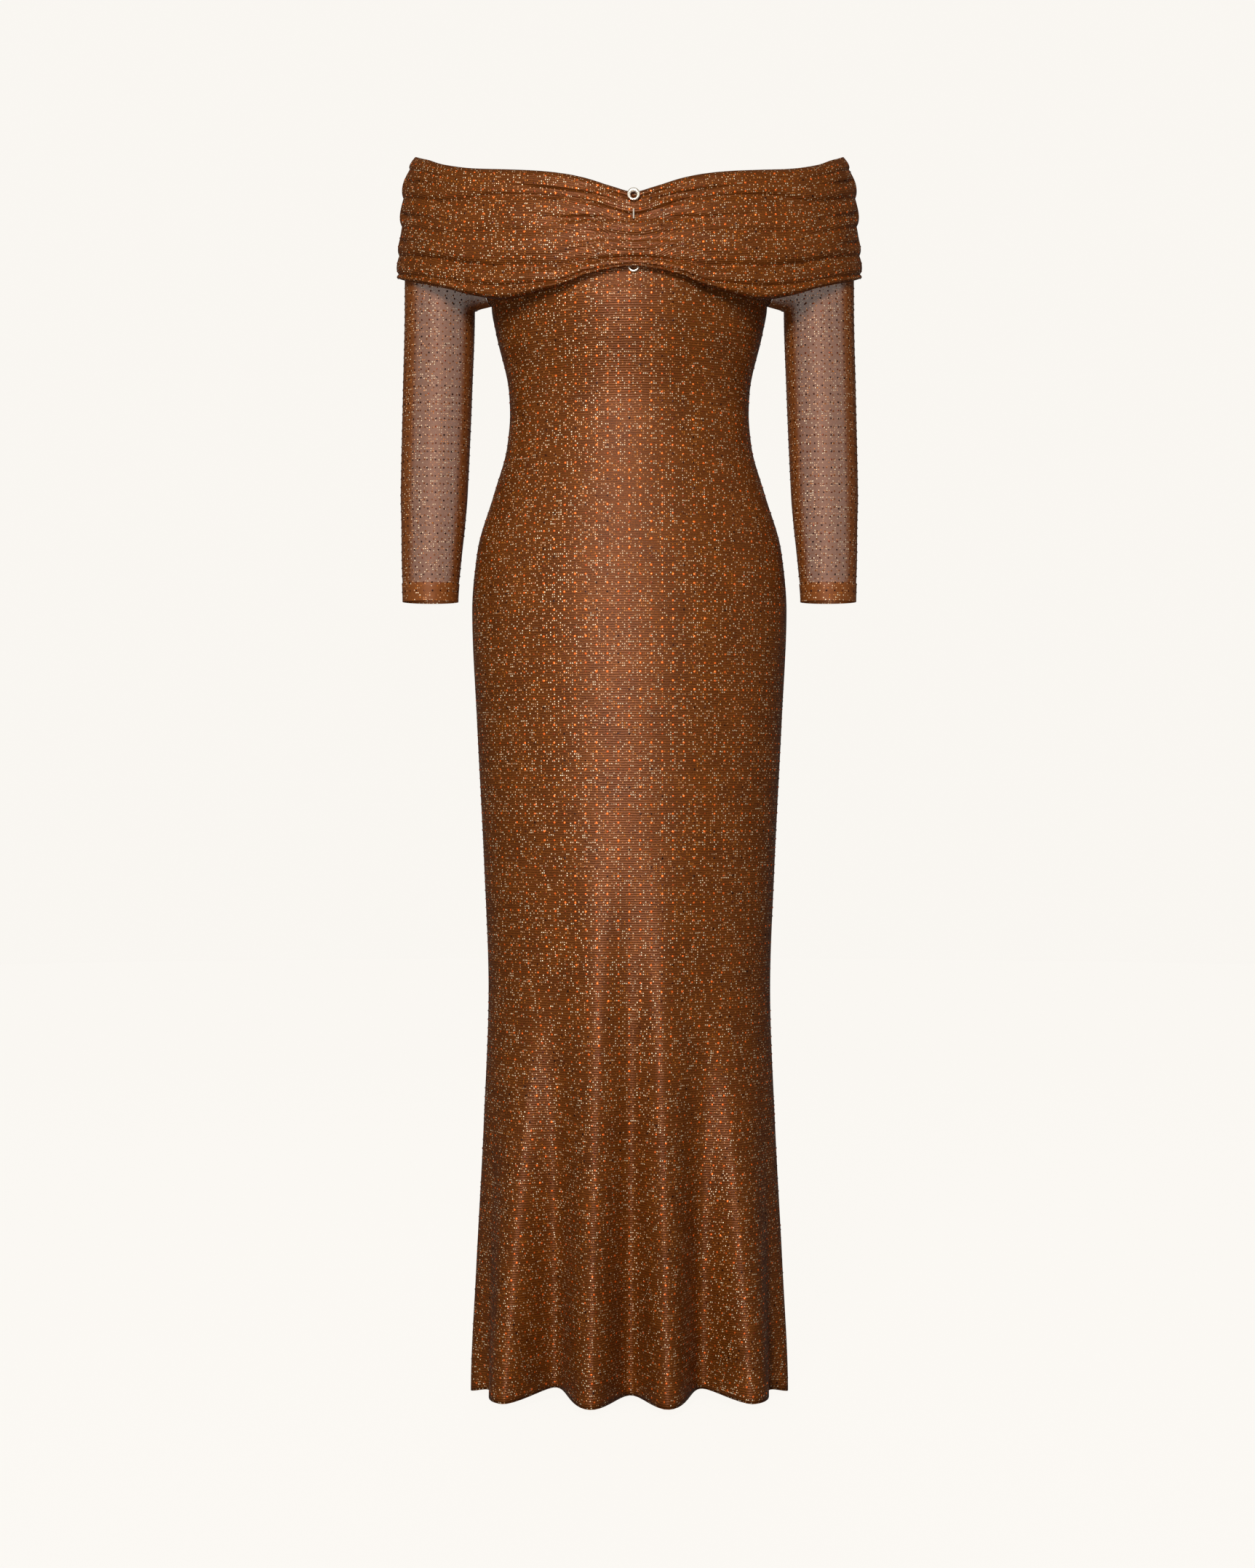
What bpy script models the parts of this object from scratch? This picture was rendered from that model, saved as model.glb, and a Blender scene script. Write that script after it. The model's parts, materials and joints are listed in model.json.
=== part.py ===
"""Off-shoulder evening dress, filled out as if worn, with nobody in it.

Metres, +Z up, the front faces -Y and the wearer's left is +X. The origin lies inside the band, at the
height where the bust and the upper arms hold the dress up. Every panel is a wall of cloth: its outer
face is worked out from the tables below, and the wall goes inwards from there.
"""

import math
from collections import namedtuple

import bmesh
import bpy
from mathutils import Vector

WALL = 0.0015
BAND_WALL = 0.0016
SEAM_GAP = 0.0004
BAND_SEAM_GAP = 0.0007  # wider outside, because the thick creased wall closes it to about 0.3 mm inside
MEAN_DEPTH = 0.1
SEAM_STRIP = 0.006  # share of a panel's width taken by the narrow strip beside each seam

UNDERARM = -0.096
HEM = -1.2686
ARMHOLE_TURN = math.radians(46)  # where the armhole seams reach the neckline, from centre front and back
RING_ROUNDING = 1.25  # over 1, the ring round bust and arms is tighter at the arms than an ellipse

BAND_HALF_WIDTH = 0.25
CUFF = -0.416
CUFF_HEM = 0.019
CUFF_STEP = 0.0007

GATHER_TURN = math.radians(1.0)  # the gather sits a little to the wearer's left of centre
BAND_SEAT = 0.0034  # the band's fold over the panels' top edge, wall and gap together

TOP_RING_RADIUS = 0.0051
TOP_RING_WIRE = 0.0022
BOTTOM_RING_RADIUS = 0.0050
BOTTOM_RING_WIRE = 0.0011
BOTTOM_RING_TUCK = 0.0048  # the lower ring stands behind the band's lower edge and shows under it
PIN_RADIUS = 0.0009
PIN_LENGTH = 0.0100
PIN_LIFT = 0.0040  # the bar bridges the crease, clear of its floor
TRIM_GAP = 0.0003

CLOTH_COLOUR = (0.156, 0.038, 0.010, 1)
SLEEVE_COLOUR = (0.240, 0.110, 0.070, 1)
GOLD_COLOUR = (0.830, 0.660, 0.420, 1)

# Half width and depths of the body's rings, from the underarm down to the hem.
Level = namedtuple("Level", "height half_width front back")
BODY = [
    Level(-1.2686, 0.1708, 0.080, 0.108),
    Level(-1.1330, 0.1653, 0.088, 0.105),
    Level(-0.9760, 0.1574, 0.100, 0.102),
    Level(-0.8340, 0.1523, 0.107, 0.102),
    Level(-0.7000, 0.1570, 0.110, 0.106),
    Level(-0.5430, 0.1649, 0.110, 0.112),
    Level(-0.4250, 0.1700, 0.107, 0.120),
    Level(-0.3620, 0.1645, 0.104, 0.113),
    Level(-0.2990, 0.1464, 0.097, 0.096),
    Level(-0.2480, 0.1322, 0.091, 0.082),
    Level(-0.2125, 0.1291, 0.090, 0.079),
    Level(-0.1890, 0.1302, 0.094, 0.082),
    Level(-0.1260, 0.1440, 0.112, 0.091),
    Level(-0.0960, 0.1490, 0.117, 0.093),
]

# The ring that panels and sleeves make together round bust and arms, under the band.
SHOULDER = [
    Level(-0.0960, 0.2430, 0.1170, 0.091),
    Level(-0.0450, 0.2430, 0.1160, 0.092),
    Level(0.0000, 0.2400, 0.1110, 0.091),
    Level(0.0660, 0.2310, 0.1040, 0.089),
]

# The band's outermost ring at each height, over the crests of its folds.
BAND = [
    Level(-0.1040, 0.2470, 0.1260, 0.106),
    Level(-0.0850, 0.2490, 0.1270, 0.107),
    Level(-0.0580, 0.2525, 0.1275, 0.108),
    Level(-0.0450, 0.2526, 0.1270, 0.108),
    Level(-0.0200, 0.2493, 0.1245, 0.107),
    Level(0.0000, 0.2490, 0.1220, 0.105),
    Level(0.0350, 0.2459, 0.1170, 0.102),
    Level(0.0660, 0.2370, 0.1120, 0.098),
]

# Neckline and lower edge of the band, by degrees round from centre front to centre back.
Edge = namedtuple("Edge", "degrees top bottom")
EDGES = [
    Edge(0, 0.0048, -0.0750),
    Edge(5, 0.0105, -0.0775),
    Edge(12, 0.0205, -0.0840),
    Edge(17, 0.0255, -0.0920),
    Edge(24, 0.0300, -0.0985),
    Edge(33, 0.0338, -0.1040),
    Edge(43, 0.0380, -0.0975),
    Edge(56, 0.0467, -0.0840),
    Edge(70, 0.0580, -0.0745),
    Edge(90, 0.0660, -0.0660),
    Edge(112, 0.0590, -0.0650),
    Edge(140, 0.0450, -0.0690),
    Edge(180, 0.0370, -0.0710),
]

# Creases of the band: how far down it each runs (0 neckline, 1 lower edge) and how deep it is, at
# places round from the gather at centre front to centre back. Between two creases the cloth puffs out.
Crease = namedtuple("Crease", "degrees down deep")
CREASES = {
    "fold_over": [Crease(0, 0, 0.0090), Crease(45, 0, 0.0085), Crease(90, 0, 0.0052), Crease(180, 0, 0.0060)],
    "outer": [
        Crease(0, 0.09, 0.0030),
        Crease(15, 0.09, 0.0008),
        Crease(45, 0.08, 0.0010),
        Crease(60, 0.10, 0.0035),
        Crease(90, 0.10, 0.0022),
        Crease(180, 0.11, 0.0012),
    ],
    "upper": [
        Crease(0, 0.31, 0.0075),
        Crease(15, 0.22, 0.0050),
        Crease(33, 0.20, 0.0045),
        Crease(55, 0.30, 0.0055),
        Crease(90, 0.34, 0.0030),
        Crease(180, 0.30, 0.0042),
    ],
    "middle": [
        Crease(0, 0.60, 0.0052),
        Crease(15, 0.53, 0.0045),
        Crease(33, 0.48, 0.0042),
        Crease(55, 0.56, 0.0042),
        Crease(90, 0.57, 0.0030),
        Crease(180, 0.53, 0.0036),
    ],
    "lower": [
        Crease(0, 0.88, 0.0060),
        Crease(15, 0.84, 0.0080),
        Crease(33, 0.75, 0.0085),
        Crease(55, 0.775, 0.0060),
        Crease(90, 0.81, 0.0034),
        Crease(180, 0.77, 0.0042),
    ],
    "under_roll": [
        Crease(0, 0.96, 0.0042),
        Crease(15, 0.96, 0.0055),
        Crease(33, 0.90, 0.0050),
        Crease(55, 0.94, 0.0036),
        Crease(90, 0.96, 0.0028),
        Crease(180, 0.95, 0.0028),
    ],
    "lower_edge": [
        Crease(0, 1, 0.0050),
        Crease(33, 1, 0.0110),
        Crease(60, 1, 0.0050),
        Crease(90, 1, 0.0038),
        Crease(120, 1, 0.0030),
        Crease(180, 1, 0.0050),
    ],
}
BAND_STEPS = {"puff": (0.0, 0.2, 0.5, 0.8), "short": (0.0, 0.5)}

# Soft folds of the skirt: where each is round the ring, how far it stands out or in at the hem, the
# height where it starts and how much it lifts the hem.
Fold = namedtuple("Fold", "degrees reach start lift")
FOLDS = [
    Fold(-157, -0.026, -0.86, 0.008),
    Fold(-135, 0.026, -0.82, 0.003),
    Fold(-112, -0.012, -0.95, 0.004),
    Fold(-92, 0.001, -0.98, 0.000),
    Fold(-70, -0.012, -0.96, 0.005),
    Fold(-45, 0.031, -0.84, 0.004),
    Fold(-31, -0.034, -0.78, 0.011),
    Fold(-12.5, 0.034, -0.62, 0.004),
    Fold(0.5, -0.028, -0.72, 0.006),
    Fold(12.5, 0.033, -0.66, 0.004),
    Fold(30, -0.033, -0.80, 0.010),
    Fold(44, 0.030, -0.82, 0.004),
    Fold(70, -0.012, -0.98, 0.005),
    Fold(91, 0.001, -0.96, 0.000),
    Fold(113, -0.014, -0.92, 0.004),
    Fold(137, 0.028, -0.80, 0.003),
    Fold(159, -0.028, -0.84, 0.008),
    Fold(181, 0.022, -0.78, 0.003),
]
FOLD_GROWTH = 1.35

# A sleeve's rings, from the cuff up to the underarm.
SleeveRing = namedtuple("SleeveRing", "height centre_x centre_y half_width depth")
SLEEVE = [
    SleeveRing(-0.4160, 0.2145, -0.009, 0.0295, 0.0305),
    SleeveRing(-0.3780, 0.2137, -0.007, 0.0318, 0.0330),
    SleeveRing(-0.3305, 0.2117, -0.004, 0.0346, 0.0360),
    SleeveRing(-0.3000, 0.2109, -0.002, 0.0362, 0.0375),
    SleeveRing(-0.1900, 0.2075, 0.001, 0.0375, 0.0390),
    SleeveRing(-0.0960, 0.2050, 0.001, 0.0380, 0.0400),
]
WEB_SHARE = 0.16  # share of the sleeve's ring, each side of its inner line, that reaches to the underarm

BODY_HEIGHTS = (
    -1.225, -1.175, -1.120, -1.060, -0.995, -0.925, -0.850, -0.765, -0.670, -0.575, -0.490,
    -0.425, -0.375, -0.330, -0.290, -0.250, -0.2125, -0.175, -0.140, -0.115,
)
SLEEVE_HEIGHTS = (-0.365, -0.325, -0.275, -0.220, -0.165, -0.120)
RISES = (0.0, 0.12, 0.3, 0.55, 0.8, 1.0)


def read(table, column, at):
    """One column of a table at a place along its first column, on a smooth curve with no overshoot."""
    places = [row[0] for row in table]
    values = [getattr(row, column) for row in table]
    if at <= places[0]:
        return values[0]
    if at >= places[-1]:
        return values[-1]
    last = len(table) - 1
    rises = [(values[i + 1] - values[i]) / (places[i + 1] - places[i]) for i in range(last)]

    def slope(i):
        if i in (0, last) or rises[i - 1] * rises[i] <= 0:
            return 0.0
        return 2 * rises[i - 1] * rises[i] / (rises[i - 1] + rises[i])

    i = max(n for n in range(last) if places[n] <= at)
    width = places[i + 1] - places[i]
    t = (at - places[i]) / width
    return (
        values[i] * (1 + 2 * t) * (1 - t) ** 2
        + values[i + 1] * t * t * (3 - 2 * t)
        + slope(i) * width * t * (1 - t) ** 2
        - slope(i + 1) * width * t * t * (1 - t)
    )


def ring_point(table, turn, height, rounding=1.0):
    """A point of a ring, by the turn from centre front towards the wearer's left."""
    ahead = math.cos(turn)
    depth = read(table, "front" if ahead > 0 else "back", height)
    y = -math.copysign(depth * abs(ahead) ** rounding, ahead)
    return Vector((read(table, "half_width", height) * math.sin(turn), y, height))


def edge_height(column, turn):
    """Height of the neckline or of the band's lower edge."""
    return read(EDGES, column, math.degrees(abs(turn - GATHER_TURN * math.cos(turn))))


def fold_value(turn, value_of):
    """A value of the skirt's folds at a turn, passing softly from each fold to the next."""
    degrees = math.degrees(turn)
    ring = [*FOLDS, FOLDS[0]._replace(degrees=FOLDS[0].degrees + 360)]
    if degrees < FOLDS[0].degrees:
        degrees += 360
    for fold, after in zip(ring, ring[1:]):
        if degrees <= after.degrees:
            share = (degrees - fold.degrees) / (after.degrees - fold.degrees)
            ease = (1 - math.cos(math.pi * share)) / 2
            return value_of(fold) * (1 - ease) + value_of(after) * ease
    raise ValueError("a turn lies outside the ring")


def body_point(turn, height):
    """A point of the body below the underarm, with the skirt's folds."""
    point = ring_point(BODY, turn, height)
    depth = read(BODY, "front" if math.cos(turn) > 0 else "back", height)
    outwards = Vector((math.sin(turn) / read(BODY, "half_width", height), -math.cos(turn) / depth, 0))

    def reach(fold):
        grown = max(fold.start - height, 0) / (fold.start - HEM)
        return fold.reach * grown**FOLD_GROWTH

    return point + outwards.normalized() * fold_value(turn, reach)


def panel_point(side, share, rise):
    """A point of a body panel above the underarm: side 0 is the front and pi the back, share -1 to 1."""
    ring_turn = side + share * (ARMHOLE_TURN - SEAM_GAP)
    bottom = ring_point(BODY, side + share * (math.pi / 2 - seam_turn(SEAM_GAP)), UNDERARM)
    height = UNDERARM + (edge_height("top", wrapped(ring_turn)) - BAND_SEAT - UNDERARM) * rise
    top = ring_point(SHOULDER, ring_turn, height, RING_ROUNDING)
    bottom.z = height
    return bottom.lerp(top, opening(rise))


def sleeve_point(share, rise):
    """A point of the wearer's left sleeve above the underarm, share 0 to 1 from front seam to back seam."""
    start = ARMHOLE_TURN + SEAM_GAP
    ring_turn = start + (math.pi - 2 * start) * share
    ring = sleeve_ring(share, UNDERARM)
    pull = max(1 - min(share, 1 - share) / WEB_SHARE, 0) ** 2
    underarm = Vector((read(BODY, "half_width", UNDERARM) + SEAM_GAP, 0, UNDERARM))
    ring = ring.lerp(underarm, pull)
    height = UNDERARM + (edge_height("top", ring_turn) - BAND_SEAT - UNDERARM) * rise
    top = ring_point(SHOULDER, ring_turn, height, RING_ROUNDING)
    ring.z = height
    return ring.lerp(top, opening(rise))


def opening(rise):
    """How far a ring above the underarm has opened into the ring round bust and arms."""
    return rise**0.55


def seam_turn(gap, rounding=1.0):
    """How far a panel stops short of the side line, so that half a seam's gap is left."""
    return (gap / 2 / MEAN_DEPTH) ** (1 / rounding)


def wrapped(turn):
    """The same turn between -pi and pi."""
    return math.remainder(turn, 2 * math.pi)


def sleeve_ring(share, height, step=0.0):
    """A point of the sleeve's closed ring, share 0 at its inner line and 0.25 at the front."""
    angle = 2 * math.pi * share
    x = read(SLEEVE, "centre_x", height) - (read(SLEEVE, "half_width", height) + step) * math.cos(angle)
    y = read(SLEEVE, "centre_y", height) - (read(SLEEVE, "depth", height) + step) * math.sin(angle)
    return Vector((x, y, height))


def band_point(turn, crease, after, puff):
    """A point of the band between two creases: puff 0 is in the upper one and 1 in the lower one."""
    degrees = math.degrees(abs(wrapped(turn - GATHER_TURN * max(math.cos(turn), 0))))
    down = [read(CREASES[name], "down", degrees) for name in (crease, after)]
    deep = [read(CREASES[name], "deep", degrees) for name in (crease, after)]
    top, bottom = edge_height("top", wrapped(turn)), edge_height("bottom", wrapped(turn))
    height = top + (bottom - top) * (down[0] + (down[1] - down[0]) * puff)
    inwards = deep[0] * (1 - puff) ** 2.5 + deep[1] * puff**2.5
    point = ring_point(BAND, turn, height, RING_ROUNDING)
    outwards = Vector((point.x / BAND_HALF_WIDTH**2, point.y / MEAN_DEPTH**2, 0)).normalized()
    return point - outwards * inwards


def shares(count, low, high):
    """Even places across a panel, with one narrow strip beside each seam."""
    width = high - low
    inner = [low + width * (SEAM_STRIP + (1 - 2 * SEAM_STRIP) * n / count) for n in range(count + 1)]
    return [low, *inner, high]


def crowded(share):
    """A place across a panel, moved so that the middle of the panel has the closest columns."""
    return 0.86 * share + 0.14 * share**3


def surface(name, rows, closed=0):
    """A mesh on rows of points, lowest row first. The first rows may be closed rings."""
    mesh = bmesh.new()
    grid = [[mesh.verts.new(point) for point in row] for row in rows]
    for row in grid[:closed]:
        row.append(row[0])
    for low, high in zip(grid, grid[1:]):
        for n in range(len(low) - 1):
            mesh.faces.new((low[n], low[n + 1], high[n + 1], high[n]))
    data = bpy.data.meshes.new(name)
    mesh.to_mesh(data)
    mesh.free()
    data.shade_smooth()
    return data


def add_object(name, data, colour, metallic=0.0, roughness=0.7):
    """An object of the dress with its own material."""
    material = bpy.data.materials.new(name)
    material.use_nodes = True
    shader = material.node_tree.nodes["Principled BSDF"]
    shader.inputs["Base Color"].default_value = colour
    shader.inputs["Metallic"].default_value = metallic
    shader.inputs["Roughness"].default_value = roughness
    data.materials.append(material)
    piece = bpy.data.objects.new(name, data)
    dress.objects.link(piece)
    return piece


def add_cloth(name, rows, wall, colour, closed=0, flip=False):
    """A panel: its outer face, thickened inwards to a wall."""
    data = surface(name, rows, closed)
    if flip:
        data.flip_normals()
    piece = add_object(name, data, colour)
    solidify = piece.modifiers.new("Wall", "SOLIDIFY")
    solidify.thickness = wall
    solidify.offset = -1
    solidify.use_even_offset = True
    solidify.use_quality_normals = True
    return piece


def add_body_panel(name, side, columns):
    """Front (side 0) or back (side pi), from the hem to the neckline."""
    across = [crowded(share) for share in shares(columns, -1, 1)]
    turns = [wrapped(side) + share * (math.pi / 2 - seam_turn(SEAM_GAP)) for share in across]
    hem = []
    for turn in turns:
        point = body_point(wrapped(turn), HEM)
        point.z += fold_value(wrapped(turn), lambda fold: fold.lift)
        hem.append(point)
    rows = [hem]
    rows += [[body_point(wrapped(turn), height) for turn in turns] for height in BODY_HEIGHTS]
    rows += [[panel_point(side, share, rise) for share in across] for rise in RISES]
    return add_cloth(name, rows, WALL, CLOTH_COLOUR)


def add_sleeve(name, mirror, columns):
    """A sleeve: closed rings from the cuff to the underarm, open above it to the neckline."""
    ring = [n / columns for n in range(columns)]
    cuff_top = CUFF + CUFF_HEM
    rows = [[sleeve_ring(share, height, CUFF_STEP) for share in ring] for height in (CUFF, cuff_top)]
    heights = (cuff_top + CUFF_STEP, *SLEEVE_HEIGHTS)
    rows += [[sleeve_ring(share, height) for share in ring] for height in heights]
    rows.append([sleeve_point(share, 0.0) for share in ring])
    closed = len(rows)
    rows += [[sleeve_point(n / columns, rise) for n in range(columns + 1)] for rise in RISES[1:]]
    for point in (point for row in rows for point in row):
        point.x *= mirror
    return add_cloth(name, rows, WALL, SLEEVE_COLOUR, closed, flip=mirror < 0)


def add_band(name, side, columns, puff_steps):
    """Front or back of the draped band, with its creases."""
    reach = math.pi / 2 - seam_turn(BAND_SEAM_GAP, RING_ROUNDING)
    turns = [side + crowded(share) * reach for share in shares(columns, -1, 1)]
    names = list(CREASES)
    rows = []
    for crease, after in zip(names, names[1:]):
        short = crease in ("fold_over", "under_roll")
        for puff in BAND_STEPS["short"] if short else puff_steps:
            rows.append([band_point(turn, crease, after, puff) for turn in turns])
    rows.append([band_point(turn, names[-2], names[-1], 1.0) for turn in turns])
    return add_cloth(name, rows[::-1], BAND_WALL, CLOTH_COLOUR)


def add_gather_ring(name, radius, wire, seat, forward, rise):
    """A small metal ring standing upright at the gather."""
    bpy.ops.mesh.primitive_torus_add(
        major_segments=18,
        minor_segments=8,
        major_radius=radius,
        minor_radius=wire,
        location=(seat.x, seat.y - wire - TRIM_GAP - forward, seat.z + rise),
        rotation=(math.pi / 2, 0, 0),
    )
    return take_primitive(name)


def add_gather_pin(name):
    """The thin bar that shows across the band's upper crease."""
    seat = band_point(GATHER_TURN, "upper", "middle", 0.0)
    bpy.ops.mesh.primitive_cylinder_add(
        vertices=10,
        radius=PIN_RADIUS,
        depth=PIN_LENGTH,
        location=(seat.x, seat.y - PIN_RADIUS - PIN_LIFT, seat.z),
    )
    return take_primitive(name)


def take_primitive(name):
    """The primitive just made, as a gold piece of the dress."""
    made = bpy.context.active_object
    data = made.data
    data.name = name
    data.shade_smooth()
    place = made.matrix_world.copy()
    bpy.data.objects.remove(made)
    piece = add_object(name, data, GOLD_COLOUR, metallic=1.0, roughness=0.22)
    piece.matrix_world = place
    return piece


for old in list(bpy.data.objects):
    bpy.data.objects.remove(old)
dress = bpy.data.collections.new("off_shoulder_dress")
bpy.context.scene.collection.children.link(dress)

add_body_panel("front", 0.0, 32)
add_body_panel("back", math.pi, 26)
add_sleeve("sleeve_left", 1, 12)
add_sleeve("sleeve_right", -1, 12)
add_band("band_front", 0.0, 30, BAND_STEPS["puff"])
add_band("band_back", math.pi, 22, (0.0, 0.33, 0.67))
top_seat = band_point(GATHER_TURN, "outer", "upper", 0.5)
bottom_seat = band_point(GATHER_TURN, "under_roll", "lower_edge", 1.0)
add_gather_ring("gather_ring_top", TOP_RING_RADIUS, TOP_RING_WIRE, top_seat, -0.0007, 0.0108)
add_gather_ring(
    "gather_ring_bottom", BOTTOM_RING_RADIUS, BOTTOM_RING_WIRE, bottom_seat, -BOTTOM_RING_TUCK, 0.0011
)
add_gather_pin("gather_pin")
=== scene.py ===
"""Looks of an off-shoulder evening dress in glitter knit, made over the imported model.

Metres, +Z up, the front faces -Y and the wearer's left is +X. The tables of sizes repeat those of the
part's source, so every panel lies on its solid's outer face. The cloth is charted in its own plane, by
the distance across from a panel's middle and down from its top, so rows and dots keep their spacing.
"""

import json
import math
from collections import namedtuple

import bpy
import numpy as np
from bpy.props import FloatProperty, FloatVectorProperty, IntProperty, PointerProperty
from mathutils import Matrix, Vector

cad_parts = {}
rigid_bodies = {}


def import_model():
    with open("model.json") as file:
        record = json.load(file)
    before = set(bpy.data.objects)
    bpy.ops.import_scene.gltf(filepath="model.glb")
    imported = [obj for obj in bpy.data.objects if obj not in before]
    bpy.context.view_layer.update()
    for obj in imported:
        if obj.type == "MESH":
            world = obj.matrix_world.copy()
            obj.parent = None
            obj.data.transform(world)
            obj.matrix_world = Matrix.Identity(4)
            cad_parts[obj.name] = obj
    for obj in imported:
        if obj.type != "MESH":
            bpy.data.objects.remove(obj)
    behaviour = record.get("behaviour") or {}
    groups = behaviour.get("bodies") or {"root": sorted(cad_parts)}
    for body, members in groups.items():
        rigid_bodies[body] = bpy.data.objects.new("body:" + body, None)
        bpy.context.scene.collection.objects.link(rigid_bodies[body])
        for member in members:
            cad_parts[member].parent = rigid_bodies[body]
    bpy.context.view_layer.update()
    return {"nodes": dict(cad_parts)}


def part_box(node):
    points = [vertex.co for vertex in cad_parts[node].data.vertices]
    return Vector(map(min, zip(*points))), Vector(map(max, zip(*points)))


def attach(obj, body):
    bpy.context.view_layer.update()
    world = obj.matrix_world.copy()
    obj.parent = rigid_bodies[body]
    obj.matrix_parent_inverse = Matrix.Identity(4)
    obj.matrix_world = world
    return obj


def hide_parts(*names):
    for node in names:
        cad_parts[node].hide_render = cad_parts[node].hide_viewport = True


bl_info = {
    "name": "Off-shoulder dress",
    "version": (1, 0, 0),
    "blender": (4, 5, 0),
    "location": "3D View > Sidebar > Dress",
    "description": "Builds the cloth, dots and trim of an off-shoulder evening dress in glitter knit",
    "category": "Add Mesh",
}

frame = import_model()

WALL = 0.0015
BAND_WALL = 0.0016
SEAM_GAP = 0.0004
BAND_SEAM_GAP = 0.0007
MEAN_DEPTH = 0.1

UNDERARM = -0.096
HEM = -1.2686
HEM_RISE = 0.0436  # height over which the folds lift the hem
ARMHOLE_TURN = math.radians(46)
RING_ROUNDING = 1.25

BAND_HALF_WIDTH = 0.25
CUFF = -0.416
CUFF_HEM = 0.019
CUFF_STEP = 0.0007

GATHER_TURN = math.radians(1.0)
BAND_SEAT = 0.0034
BAND_ROOM = 0.0082  # how far the band's cloth can sink before it meets the panels
WEB_SHARE = 0.16  # share of the sleeve's ring, at each seam, that the underarm web pulls in
FOLD_GROWTH = 1.35
OPENING_GROWTH = 0.55
ROW_CROWDING = 1.4  # rows crowd towards the underarm, where the cloth turns most
CUFF_ROWS, TUBE_ROWS, TOP_ROWS = 6, 70, 18
TUBE_STOP = 0.004  # how far below the underarm the sleeve's plain tube stops

# Main creases of the band: a sharp fall out of the upper one and a late roll into the lower one.
CREASE_FALL = 2.2
CREASE_ROLL = 6
PLEAT_WANDER = 0.21
PLEAT_EDGE_FADE = 14
TUCK_STRENGTH = 1.9
TUCK_STEEP, TUCK_SOFT = 0.7, 1.9
TUCK_START, TUCK_END = 5, 2.2
TUCK_ROOM = 0.0105
TUCK_LEAST_ROOM = 0.25
TUCK_EDGE_FADE = 16

# Foil dots: clear of the seams, none under the band, and small ones on the sleeves, painted dark as painted
# shade with only a faint painted glint.
DOT_MARGIN = 0.002
DOT_TILT = math.radians(7)
DOT_RIM, DOT_CROWN, DOT_DOME = 0.00020, 0.00025, 0.35
BODY_DOTS_TOP, SLEEVE_DOTS_TOP = -0.07, -0.06
SLEEVE_DOT_PITCH = 0.0088
SLEEVE_DOT_RADIUS = 0.0011
# Most painted glint a sleeve dot can get; the sleeve dots stay dark, a painted shade.
SLEEVE_DOT_PAINTED_GLINT = 0.12

STAGE_MIDDLE = (0, 0, -0.6)
DOME_RADIUS, FLOOR_RADIUS = 8.0, 7.5
FLOOR_DROP = 0.0035

Level = namedtuple("Level", "height half_width front back")
BODY = [
    Level(-1.2686, 0.1708, 0.080, 0.108),
    Level(-1.1330, 0.1653, 0.088, 0.105),
    Level(-0.9760, 0.1574, 0.100, 0.102),
    Level(-0.8340, 0.1523, 0.107, 0.102),
    Level(-0.7000, 0.1570, 0.110, 0.106),
    Level(-0.5430, 0.1649, 0.110, 0.112),
    Level(-0.4250, 0.1700, 0.107, 0.120),
    Level(-0.3620, 0.1645, 0.104, 0.113),
    Level(-0.2990, 0.1464, 0.097, 0.096),
    Level(-0.2480, 0.1322, 0.091, 0.082),
    Level(-0.2125, 0.1291, 0.090, 0.079),
    Level(-0.1890, 0.1302, 0.094, 0.082),
    Level(-0.1260, 0.1440, 0.112, 0.091),
    Level(-0.0960, 0.1490, 0.117, 0.093),
]

SHOULDER = [
    Level(-0.0960, 0.2430, 0.1170, 0.091),
    Level(-0.0450, 0.2430, 0.1160, 0.092),
    Level(0.0000, 0.2400, 0.1110, 0.091),
    Level(0.0660, 0.2310, 0.1040, 0.089),
]

BAND = [
    Level(-0.1040, 0.2470, 0.1260, 0.106),
    Level(-0.0850, 0.2490, 0.1270, 0.107),
    Level(-0.0580, 0.2525, 0.1275, 0.108),
    Level(-0.0450, 0.2526, 0.1270, 0.108),
    Level(-0.0200, 0.2493, 0.1245, 0.107),
    Level(0.0000, 0.2490, 0.1220, 0.105),
    Level(0.0350, 0.2459, 0.1170, 0.102),
    Level(0.0660, 0.2370, 0.1120, 0.098),
]

# Neckline and lower edge of the band, by degrees round from centre front to centre back.
Edge = namedtuple("Edge", "degrees top bottom")
EDGES = [
    Edge(0, 0.0048, -0.0750),
    Edge(5, 0.0105, -0.0775),
    Edge(12, 0.0205, -0.0840),
    Edge(17, 0.0255, -0.0920),
    Edge(24, 0.0300, -0.0985),
    Edge(33, 0.0338, -0.1040),
    Edge(43, 0.0380, -0.0975),
    Edge(56, 0.0467, -0.0840),
    Edge(70, 0.0580, -0.0745),
    Edge(90, 0.0660, -0.0660),
    Edge(112, 0.0590, -0.0650),
    Edge(140, 0.0450, -0.0690),
    Edge(180, 0.0370, -0.0710),
]

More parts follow.
